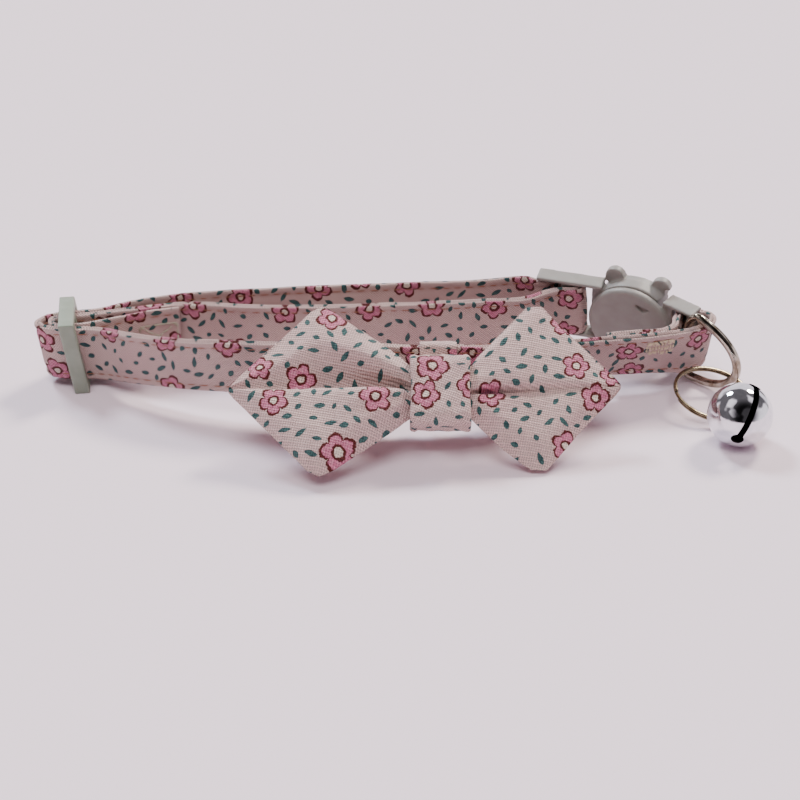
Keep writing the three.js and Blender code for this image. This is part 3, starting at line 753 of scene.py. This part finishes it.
def bow_front(row, v):
    """How far the front stands out at part v (-1 lower edge, 1 upper edge) of one cut."""
    x, puff, crease = row[0], row[6], row[7]
    left = x < KNOT_X
    wing = LEFT_WING if left else RIGHT_WING
    away = abs(x - KNOT_X)
    part = v - (wing["crease_at"] + 0.03 * wander(x * 0.12, 2.0))
    on_lip = part < 0 if left else part > 0
    p = min(1.0, abs(part))
    if on_lip:
        rise = 1 - exp(-p / wing["lip"])
        height = crease + (puff - crease) * rise
        height *= 1 - 0.72 * p ** 2.4
    else:
        height = crease + (wing["slope_height"] * puff - crease) * smooth(p / wing["slope"])
        height *= 1 - 0.70 * smooth((p - 0.45) / 0.55)
    edge = smooth((1 - abs(v)) / 0.10)
    height = EDGE_HALF + (height - EDGE_HALF) * edge
    ray = atan2(v * (row[4] if v > 0 else row[5]), max(away, 0.5))
    fold = wander(ray * 5.5, x * 0.05, wing["seed"]) * exp(-((away - 7) / 9.0) ** 2)
    dent = 0.35 * wander(x * 0.16, v * 1.9, 1.0) + 0.12 * wander(x * 0.5, v * 5.0, 6.0)
    return height + edge * (wing["fold"] * fold + dent)


BOW_CUTS, BOW_ACROSS = 250, 84
# The bow's cloth is counted from the middle of its front, and its back from here down.
BOW_WRAP = 60


def build_bow(material):
    """Both wings and the gathered middle: a closed skin through cuts across the bow."""
    start, end = BOW_ROWS[0][0], BOW_ROWS[-1][0]
    rings, rims, spans = [], [], []
    for k in range(BOW_CUTS + 1):
        x = start + (end - start) * k / BOW_CUTS
        row = bow_row(x)
        fray = 0.10 * wander(x * 0.9, 31.0)
        ring, rim = [], []
        for j in range(BOW_ACROSS + 1):
            even = -1 + 2 * j / BOW_ACROSS
            v = sin(pi / 2 * even) * 0.5 + 0.5 * even
            reach = (row[5] if v < 0 else row[4]) + fray
            ring.append(bow_point(row, v * reach, bow_front(row, v)))
            rim.append(v * reach)
        for j in range(BOW_ACROSS // 2 - 1, 0, -1):
            v = -1 + 4 * j / BOW_ACROSS
            reach = (row[5] if v < 0 else row[4]) + fray
            back = EDGE_HALF + (row[8] - EDGE_HALF) * cos(v * pi / 2)
            back += 0.25 * wander(x * 0.2, v * 2.0, 15.0)
            ring.append(bow_point(row, v * reach, -max(0.3, back)))
            rim.append(BOW_WRAP - v * reach)
        rings.append(ring)
        rims.append(rim)
        spans.append(x)
    count = len(rings[0])
    corners = []
    for r in range(BOW_CUTS):
        for k in range(count):
            k2 = (k + 1) % count
            for ring, item in ((r, k), (r, k2), (r + 1, k2), (r + 1, k)):
                v = rims[ring][item]
                if k >= BOW_ACROSS and v < BOW_WRAP / 2:
                    v = BOW_WRAP - v
                corners.append((spans[ring], v))
    for tip in (0, -1):
        corners += [(spans[tip], 0.0)] * count
    verts = [place(p) for ring in rings for p in ring]
    uvs = [(u / CLOTH_UNIT, v / CLOTH_UNIT) for u, v in corners]
    piece = new_object("bow_cloth", verts, skin(len(rings), count), material, uvs)
    face_outward(piece)
    return piece


BAND_PITCH = 0.45
HEM = 1.4


def build_band(name, material, centre, lean, half_out, half_up, radius, wall, length,
               pucker=0.0, seed=0.0):
    """A flat strip bent into a closed loop round the x axis, thicker along its two hems, and the
    distance round it.

    half_out and half_up are the loop's half sizes and radius that of its corners; length is its
    size along x, and pucker is how much narrower its front gets in the middle.
    """
    front = Vector((0, -cos(lean), sin(lean)))
    up = Vector((0, sin(lean), cos(lean)))
    along = Vector((1, 0, 0))
    out, high = half_out - radius, half_up - radius
    path = []
    for corner, (x, y) in enumerate(((out, high), (-out, high), (-out, -high), (out, -high))):
        for k in range(9):
            angle = pi / 2 * (corner + k / 8)
            path.append((x + radius * cos(angle), y + radius * sin(angle),
                         cos(angle), sin(angle)))
    dense = []
    for a, b in zip(path, path[1:] + path[:1]):
        parts = max(1, int(hypot(a[0] - b[0], a[1] - b[1]) / BAND_PITCH))
        for k in range(parts):
            dense.append([p + (q - p) * (k / parts) for p, q in zip(a, b)])

    half, thick = length / 2, wall / 2
    inner = half - HEM
    cuts = max(2, round(2 * inner / BAND_PITCH))
    section = [(thick * 0.5, -half), (thick * 0.95, -half + 0.25), (thick * 1.15, -half + 0.8),
               (thick * 0.85, -half + HEM)]
    section += [(thick * (0.88 + 0.07 * sin(pi * k / cuts)), -inner + 2 * inner * k / cuts)
                for k in range(1, cuts)]
    section += [(thick * 0.85, half - HEM), (thick * 1.15, half - 0.8), (thick * 0.95, half - 0.25),
                (thick * 0.5, half), (-thick * 0.5, half), (-thick, half - 0.3)]
    section += [(-thick, (half - 0.3) * (1 - 2 * k / cuts)) for k in range(1, cuts)]
    section += [(-thick, -half + 0.3), (-thick * 0.5, -half)]

    rings, spans = [], [0.0]
    for k, (x, y, nx, ny) in enumerate(dense):
        following = dense[(k + 1) % len(dense)]
        narrow = 1 - pucker * smooth((nx + 0.2) / 1.2) * (1 - smooth(abs(y) / half_up))
        middle = Vector(centre) + front * (x - nx * thick) + up * (y - ny * thick)
        normal = front * nx + up * ny
        ring = []
        for t, w in section:
            ripple = 0.26 * wander(w * 0.45 + seed, y * 0.5, x * 0.5)
            ripple += 0.10 * wander(w * 1.3, y * 0.9, seed)
            ring.append(middle + normal * (t + (ripple if t > 0 else 0)) + along * (w * narrow))
        rings.append(ring)
        spans.append(spans[-1] + hypot(x - following[0], y - following[1]))
    rims = [0.0]
    for a, b in zip(section, section[1:] + section[:1]):
        rims.append(rims[-1] + hypot(a[0] - b[0], a[1] - b[1]))
    return sweep(name, rings, spans, rims, material, closed=True), spans[-1]


# ---- rigid pieces ----
def bake(piece):
    """Applies a piece's modifiers to its mesh."""
    graph = bpy.context.evaluated_depsgraph_get()
    mesh = bpy.data.meshes.new_from_object(piece.evaluated_get(graph))
    piece.modifiers.clear()
    piece.data = mesh


def softened(node, name, material, pitch, rounds):
    """A copy of a moulded solid on an even fine mesh, with its edges rounded off."""
    piece = add_object(name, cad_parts[node].data.copy())
    piece.data.materials.clear()
    piece.data.materials.append(material)
    grid = piece.modifiers.new("grid", "REMESH")
    grid.mode = "VOXEL"
    grid.voxel_size = pitch * MM
    grid.use_smooth_shade = True
    ease = piece.modifiers.new("ease", "SMOOTH")
    ease.factor = 0.5
    ease.iterations = rounds
    bake(piece)
    return piece


def tube(name, points, radius, material, sides, steps):
    """Round wire along a closed curve through the points."""
    at, last = spline(points, closed=True)
    rings = []
    guide = None
    for k in range(steps):
        point, heading = at(last * k / steps)[:2]
        if guide is None:
            guide = heading.orthogonal().normalized()
        guide = (guide - heading * guide.dot(heading)).normalized()
        other = heading.cross(guide)
        rings.append([point + radius * (cos(a) * guide + sin(a) * other)
                      for a in circle(sides)])
    # the rings turn a little on the way round, so they are shifted for the last to meet the first
    shift = min(range(sides), key=lambda k: (rings[-1][k] - rings[0][0]).length)
    rings = [[ring[(k + round(shift * r / len(rings))) % sides] for k in range(sides)]
             for r, ring in enumerate(rings)]
    return sweep(name, rings, range(steps + 1), range(sides + 1), material, closed=True)


D_MIDDLE = Vector((52.3, 6.6, 8.4))
D_DIRECTION = Vector((0, -0.28, 0.96)).normalized()
D_HALF = 5.9
D_REACH = Vector((8.2, -7.0, -2.4))


def d_points():
    """The D-ring's wire: a straight side in the strap's fold and a bow towards the split ring."""
    points = [D_MIDDLE + D_DIRECTION * (v * D_HALF) for v in (-0.75, -0.25, 0.25, 0.75)]
    for k in range(13):
        angle = pi * (0.5 - k / 12)
        points.append(D_MIDDLE + D_DIRECTION * ((D_HALF + 1.1) * sin(angle))
                      + D_REACH * (0.12 + 0.88 * cos(angle)))
    return points


SPLIT_RING_AT = Vector((56.2, -2.95, 2.9))
SPLIT_RING_TURN = Matrix.Rotation(RAD(12), 3, "X") @ Matrix.Rotation(RAD(9), 3, "Y")
SPLIT_RING_RADIUS, SPLIT_RING_TURNS = 6.95, 1.96


def build_split_ring(material):
    """Two turns of flat wire lying on each other, the ends overlapping."""
    steps, sides = 300, 10
    rings = []
    for k in range(steps + 1):
        part = k / steps
        angle = RAD(200) + part * 2 * pi * SPLIT_RING_TURNS
        rise = -0.22 + 0.44 * smooth((part - 0.44) / 0.12)
        ring = []
        for a in circle(sides):
            ca, sa = cos(a), sin(a)
            out = SPLIT_RING_RADIUS + 0.33 * copysign(abs(ca) ** 0.6, ca)
            high = 0.21 * copysign(abs(sa) ** 0.6, sa)
            ring.append(SPLIT_RING_AT + SPLIT_RING_TURN @ Vector((out * cos(angle),
                                                                  out * sin(angle), rise + high)))
        rings.append(ring)
    return sweep("split_ring_wire", rings, range(steps + 1), range(sides + 1), material)


BELL_RADIUS, BELL_WALL = 5.62, 0.42
BELL_EYE = Vector((-0.211, 0.8, -0.61)).normalized()
BELL_SLIT = Vector((0.40, 0.5, 0.83))
SLIT_REACH, SLIT_HALF = RAD(62), 0.55
HOLE_RADIUS = 1.1
EYE_RADIUS, EYE_WIRE, EYE_HEIGHT = 1.2, 0.3, BELL_RADIUS + 1.4


def cut_away(piece, tools):
    """Takes the tools' shapes out of the piece, and removes the tools."""
    for tool in tools:
        cut = piece.modifiers.new("cut", "BOOLEAN")
        cut.operation = "DIFFERENCE"
        cut.solver = "EXACT"
        cut.object = tool
    bake(piece)
    for tool in tools:
        bpy.data.objects.remove(tool)


def build_bell(material, inside):
    """A polished hollow ball with a slit between two round holes, and its wire eye.

    Its own z axis points to the eye, and the slit lies across the other end along x.
    """
    slit = (BELL_SLIT - BELL_EYE * BELL_SLIT.dot(BELL_EYE)).normalized()
    turn = Matrix((slit, BELL_EYE.cross(slit), BELL_EYE)).transposed().to_4x4()
    holder = Matrix.Translation(BELL_AT) @ turn

    rows, steps = 64, 128
    pole = pi / 2 - 0.004
    heights = [max(-pole, min(pole, pi * (k / rows) - pi / 2)) for k in range(rows + 1)]
    profile = [(BELL_RADIUS * cos(a), BELL_RADIUS * sin(a)) for a in heights]
    inner = BELL_RADIUS - BELL_WALL
    profile += [(inner * cos(a), inner * sin(a)) for a in reversed(heights)]
    verts = [place(holder @ Vector((r * cos(a), r * sin(a), h)))
             for a in circle(steps) for r, h in profile]
    faces = skin(steps, len(profile), closed=True)
    shell = new_object("bell_shell", verts, faces, material)

    # the slit: a curved slab from hole to hole
    arc = 24
    low, high = BELL_RADIUS - 1.6, BELL_RADIUS + 1.2
    verts = []
    for k in range(arc + 1):
        a = -SLIT_REACH + 2 * SLIT_REACH * k / arc
        for r, y in ((low, -SLIT_HALF), (high, -SLIT_HALF), (high, SLIT_HALF), (low, SLIT_HALF)):
            verts.append(place(holder @ Vector((r * sin(a), y, -r * cos(a)))))
    mesh = bpy.data.meshes.new("slit")
    mesh.from_pydata(verts, [], skin(arc + 1, 4))
    tools = [add_object("slit", mesh)]
    face_outward(tools[0])
    for side in (-1, 1):
        hole = bmesh.new()
        axis = Vector((side * sin(SLIT_REACH), 0, -cos(SLIT_REACH)))
        bmesh.ops.create_cone(hole, cap_ends=True, segments=32, radius1=HOLE_RADIUS * MM,
                              radius2=HOLE_RADIUS * MM, depth=3 * MM)
        move = (Matrix.Translation(place(holder @ (axis * BELL_RADIUS))) @ turn
                @ axis.to_track_quat("Z", "Y").to_matrix().to_4x4())
        bmesh.ops.transform(hole, matrix=move, verts=hole.verts)
        mesh = bpy.data.meshes.new("hole")
        hole.to_mesh(mesh)
        hole.free()
        tools.append(add_object("hole", mesh))
    cut_away(shell, tools)

    shell.data.polygons.foreach_set("use_smooth", [True] * len(shell.data.polygons))
    # The faces inside the hollow take a near-black metal: painted shade of the bell's hollow.
    shell.data.materials.append(inside)
    centre = place(BELL_AT)
    for face in shell.data.polygons:
        if (face.center - centre).length < (BELL_RADIUS - 0.03) * MM:
            face.material_index = 1
    shell.data.set_sharp_from_angle(angle=RAD(35))

    points = [holder @ Vector((EYE_RADIUS * cos(a), 0, EYE_HEIGHT + EYE_RADIUS * sin(a)))
              for a in circle(16)]
    return shell, tube("bell_eye", points, EYE_WIRE, material, sides=14, steps=72)


# ---- pieces ----
# Columns of the flower rows: x along the bow, distance up from its middle, radius and turn.
# The back of the bow is counted from 60 down.
BOW_FLOWERS = [
    (-23.8, 3.9, 2.3, 0.3), (-16.8, 1.9, 2.6, 1.3), (-21.2, -2.6, 2.5, 2.2), (-10.2, -12.0, 3.1, 0.6),
    (-4.1, -2.6, 2.7, 1.8), (-11.7, 13.3, 2.6, 0.9), (15.4, -1.2, 2.4, 1.1), (30.1, 3.3, 2.4, 2.6),
    (33.3, -2.2, 2.6, 0.2), (28.0, -10.6, 2.5, 1.4), (36.4, 2.0, 2.2, 0.7), (28.3, 11.4, 2.3, 0.4),
]
BACK_OF_BOW = 40
# Runs of the strap's path with flowers: first and last row, face (1 outer, -1 inner), and the x
# of each flower and its height from the strap's middle line.
STRAP_FLOWERS = [
    (48, 66, 1, [(-51.7, 5.5), (-40.9, 5.3), (-29.6, 4.9), (-40.5, -4.9)]),
    (48, 60, 1, [(2.6, 4.4), (12.4, 4.2), (40.9, 1.7), (41.8, -4.2)]),
    (60, 64, 1, [(53.4, 2.8)]), (42, 46, 1, [(-64.2, 2.6)]), (44, 47, 1, [(-63.0, -3.4)]),
    (12, 20, 1, [(-38.1, 4.7), (-21.4, 4.3), (-5.6, 4.6), (-30.5, -3.9), (5.6, 4.9), (17.7, 4.0)]),
    (20, 23, 1, [(31.8, 3.4), (31.0, -4.6)]), (0, 2, -1, [(-48.6, 5.8)]),
    (33, 40, -1, [(-30.0, 3.9), (-41.5, 4.6)]), (33, 41, -1, [(-52.5, 4.8)]),
    (33, 40, -1, [(-15.2, 5.0), (1.3, 5.0), (24.8, 4.8)]), (73, 80, -1, [(45.0, 4.8)]),
]
# Runs whose flowers in view are all listed: x from and to, first and last row, and face.
STRAP_SHOWN = ((-50, 35, 12, 22, 1), (35, -52, 33, 41, -1), (-54, 55, 48, 66, 1))
# The bow and its band take tone 1.14 against the strap's 1.0: painted light, the same cloth made lighter
# where it faces up into the light.
bow_print = cotton_print("bow_cotton_print", thread=0.58, ribs=0.08, tone=1.14, bias=32)
strap_print = cotton_print("strap_cotton_print", thread=0.48, ribs=0.06, tone=1.0, bias=4)
band_print = cotton_print("band_cotton_print", thread=0.58, ribs=0.08, tone=1.14, bias=-24)
brown_thread = thread_material("topstitch_thread", rgb(136, 86, 66), rgb(172, 122, 100))
olive_thread = thread_material("tack_thread", rgb(120, 108, 78), rgb(214, 208, 190))
raw_thread = thread_material("raw_thread", rgb(196, 176, 140), rgb(226, 208, 184))
slider_plastic = moulded("sage_plastic", rgb(132, 141, 125), rgb(141, 149, 134))
buckle_plastic = moulded("grey_plastic", rgb(142, 137, 132), rgb(150, 146, 141))
nickel = plated("nickel_wire", rgb(190, 182, 168), rgb(122, 110, 92), rough=0.08, scratch=0.12)
spring = plated("spring_wire", rgb(150, 138, 114), rgb(92, 78, 56), rough=0.16, scratch=0.16)
# Near-black metal for the bell's hollow: painted shade.
bell_inside_painted_shade = plated("bell_inside_painted_shade", rgb(34, 32, 30), rgb(20, 19, 18), rough=0.6, scratch=0.2)
chrome = plated("bell_chrome", rgb(232, 232, 236), rgb(214, 214, 220), rough=0.03, scratch=0.05)


def hand_in(piece, stands_for=None):
    """Puts a piece on the part's one body and, when it stands for a CAD node, hides that node."""
    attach(piece, "root")
    if stands_for:
        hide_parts(stands_for)


strap, frames = build_strap(strap_print)
length = frames[-1][3]
strap_flowers = []
for first, last, face, spots in STRAP_FLOWERS:
    for x, w in spots:
        rim = w + FRONT_RIM if face > 0 else BACK_RIM - w
        turn = len(strap_flowers) * 1.7
        strap_flowers.append((length_at(frames, x, first, last), rim, 2.5, turn))
shown = [(*(length_at(frames, x, first, last) for x in (a, b)), face)
         for a, b, first, last, face in STRAP_SHOWN]


def in_sight(x, y):
    """True on the faces of the strap whose flowers are all listed."""
    return any(a - 2 < x < b + 2 and (y < BACK_OF_STRAP) == (face > 0) for a, b, face in shown)


lay_print(strap, *spread((0, length, 0, LAST_RIM), strap_flowers, 11, busy=in_sight))
hand_in(strap, "strap")
stitches = build_stitches(frames, brown_thread)
start, end = (length_at(frames, x, 0, 3) for x in (-41.6, -48.0))
box = [(start, 2.4), (end, 2.4), (end, -2.4), (start, -2.4), (start, 2.4), (end, -2.4), (end, 2.4),
       (start, -2.4)]
left_tack = build_tack("strap_tack_left", frames, -1, box, olive_thread)
start, end = (length_at(frames, x, 55, 62) for x in (44.2, 48.8))
zigzag = [(start + (end - start) * k / 13, (3.9 if k % 2 else 0.6) + 0.8 * wander(k * 0.7, 1.5))
          for k in range(14)]
right_tack = build_tack("strap_tack_right", frames, 1, zigzag + [(start, 3.6), (end, 3.9)], raw_thread)
for piece in (stitches, left_tack, right_tack):
    hand_in(piece)

bow = build_bow(bow_print)
lay_print(bow, *spread((-30, 39, -17, 78), BOW_FLOWERS, 5, busy=lambda x, y: y < BACK_OF_BOW))
hand_in(bow, "bow_body")

band, round_band = build_band("bow_band_cloth", band_print, (6.8, -17.4, 11.0), RAD(49),
                              3.35, 6.35, 2.2, 1.2, 10.3, pucker=0.05, seed=2.0)
band_flowers = [(s + shift, v, size, turn) for s, v, size, turn in
                ((round_band - 0.4, 3.9, 2.9, 0.4), (round_band - 5.6, 2.7, 2.6, 1.7),
                 (round_band - 4.0, 10.6, 2.4, 1.0), (17.0, 5.0, 2.5, 0.9))
                for shift in (0, -round_band)]
lay_print(band, *spread((-1, round_band + 1, -1, 25), band_flowers, 3,
                        busy=lambda x, y: x > 22 or x < 8))
hand_in(band, "bow_band")
loop, round_loop = build_band("bow_loop_cloth", band_print, (6.6, -9.65, 10.4), RAD(12),
                              1.25, 5.85, 0.9, 0.42, 6.4, seed=9.0)
lay_print(loop, *spread((-1, round_loop + 1, -1, 16), [(5.0, 3.0, 2.4, 0.2)], 8))
hand_in(loop, "bow_loop")

slider = softened("slider", "slider_body", slider_plastic, pitch=0.17, rounds=12)
hand_in(slider, "slider")
for side in ("left", "right"):
    node = "buckle_" + side + "_half"
    half = softened(node, "buckle_" + side + "_body", buckle_plastic, pitch=0.15, rounds=24)
    hand_in(half, node)

hand_in(tube("d_ring_wire", d_points(), 0.8, nickel, sides=24, steps=220), "d_ring")
hand_in(build_split_ring(spring), "split_ring")
shell, eye_loop = build_bell(chrome, bell_inside_painted_shade)
hand_in(shell, "bell")
hand_in(eye_loop)
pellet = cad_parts["bell_pellet"]
pellet.data.materials.clear()
pellet.data.materials.append(nickel)

# ---- floor and light ----
FLOOR_HALF = 3.0
paper = Surface("floor_paper")
paper.give({"Base Color": rgb(248, 230, 240), "Roughness": 0.75, "Specular IOR Level": 0.2})
corners = [(-FLOOR_HALF, -FLOOR_HALF, 0), (FLOOR_HALF, -FLOOR_HALF, 0), (FLOOR_HALF, FLOOR_HALF, 0),
           (-FLOOR_HALF, FLOOR_HALF, 0)]
floor = new_object("floor", corners, [(0, 1, 2, 3)], paper.material, smooth_faces=False)


def soft_sun(name, rise, turn, width, power, colour, mirrored=True):
    """Light from far away: rise above the floor, turn from the front towards the right."""
    data = bpy.data.lights.new(name, "SUN")
    data.energy = power
    data.angle = RAD(width)
    data.color = colour
    light = add_object(name, data)
    light.rotation_euler = (RAD(90 - rise), 0, RAD(turn))
    light.visible_glossy = mirrored


soft_sun("warm_window", 46, 142, 14, 3.05, (1.0, 0.91, 0.82))
soft_sun("cool_window", 48, 218, 14, 2.6, (0.82, 0.90, 1.0))
soft_sun("high_fill", 66, -8, 34, 1.95, (1.0, 0.96, 0.97), mirrored=False)

# The room is pale all round but dark in front. Only gloss shows its soft patches, and the camera
# sees it evenly bright past the floor.
DARK_WAY = (0.10, -0.86, 0.50)
BACKDROP = 3.9
ROOM_LEVEL = 0.45
world = bpy.data.worlds.new("room")
world.use_nodes = True
room = Nodes(world.node_tree)
around = room.coordinates("Generated")
seen = room.add("LightPath").outputs
front = room.ramp(room.vector("DOT_PRODUCT", around, DARK_WAY), 0.45, 0.90, 1.0, 0.04)
plain = room.add("Mix")
plain.data_type = "FLOAT"
room.put(seen["Is Camera Ray"], plain.inputs[0])
room.put(front, plain.inputs[2])
room.put(BACKDROP, plain.inputs[3])
patches = room.ramp(room.noise(around, 1.5, 1.0), 0.44, 0.54, -0.25, 1.30)
shine = room.math("MULTIPLY_ADD", seen["Is Glossy Ray"], patches, ROOM_LEVEL)
background = room.tree.nodes["Background"]
room.put(room.math("MULTIPLY", plain.outputs[0], shine), background.inputs["Strength"])
room.put(rgb(232, 224, 232), background.inputs["Color"])
bpy.context.scene.world = world
